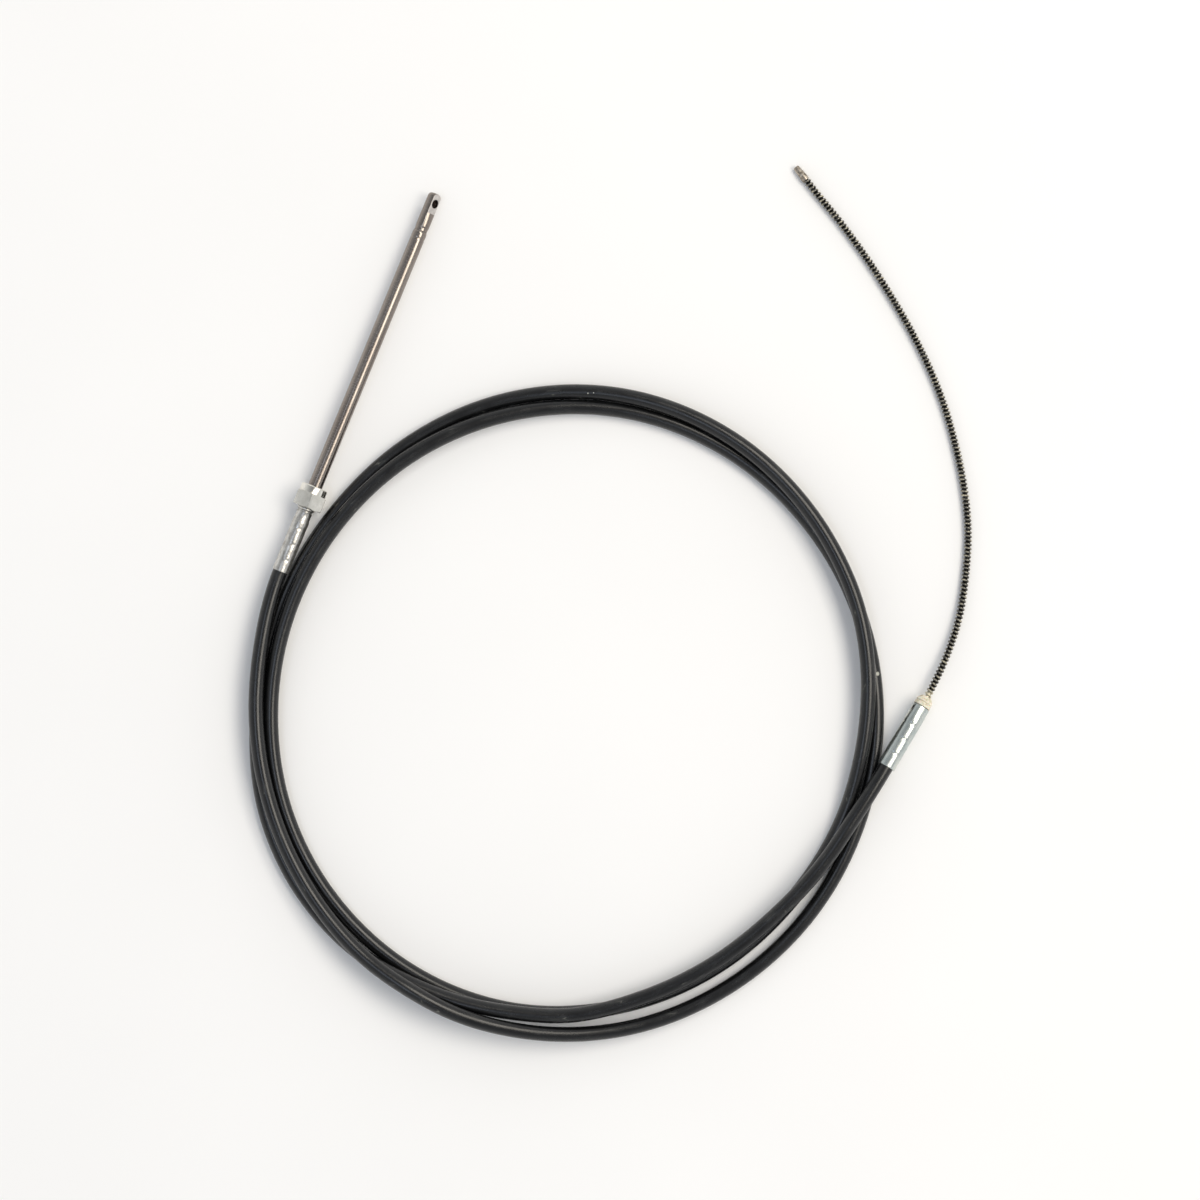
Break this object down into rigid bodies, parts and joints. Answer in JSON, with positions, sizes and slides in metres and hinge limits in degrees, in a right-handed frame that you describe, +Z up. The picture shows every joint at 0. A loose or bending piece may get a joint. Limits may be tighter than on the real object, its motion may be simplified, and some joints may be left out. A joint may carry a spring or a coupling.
{
  "type": "boat steering cable",
  "caption": "Boat steering cable lying coiled: black jacket with a telescoping steel ram and swivelling coupler nut at one end, and a crimped ferrule and bare helix core at the other.",
  "frame": {"origin": "on the floor under the middle of the whole cable's box, as it lies coiled", "axes": "+Z up from the floor, +X to the right and +Y away from the reader when the coil lies in front of them with its ram to the far left and its bare core to the far right"},
  "size_m": [0.7928, 0.9566, 0.0469],
  "materials": {
    "jacket": "semi-gloss black extruded jacket with faint lengthwise streaks",
    "zinc_steel": "bright zinc plating over crimped steel",
    "nut_steel": "machined nut, plated",
    "stainless": "polished stainless tube",
    "seal": "ivory moulded plastic",
    "core_steel": "oiled spring steel wire wound on the core"
  },
  "bodies": {
    "cable": {"conduit_jacket": "jacket", "output_hub": "zinc_steel", "guide_tube": "stainless", "helm_end_ferrule": "zinc_steel", "helm_end_seal": "seal", "helix_core": "core_steel", "core_end_tip": "core_steel"},
    "coupler": {"coupler_nut": "nut_steel"},
    "ram": {"output_ram_tube": "stainless", "ram_rod_end": "stainless"}
  },
  "joints": [
    {"name": "ram_slide", "type": "slide", "parent": "cable", "child": "ram", "axis": [0.3794, 0.9251, -0.0183], "range_m": [0, 0.2286]},
    {"name": "nut_swivel", "type": "hinge", "parent": "cable", "child": "coupler", "pos_m": [-0.32806, 0.11655, 0.01999], "axis": [0.3794, 0.9251, -0.0183], "continuous": true}
  ]
}
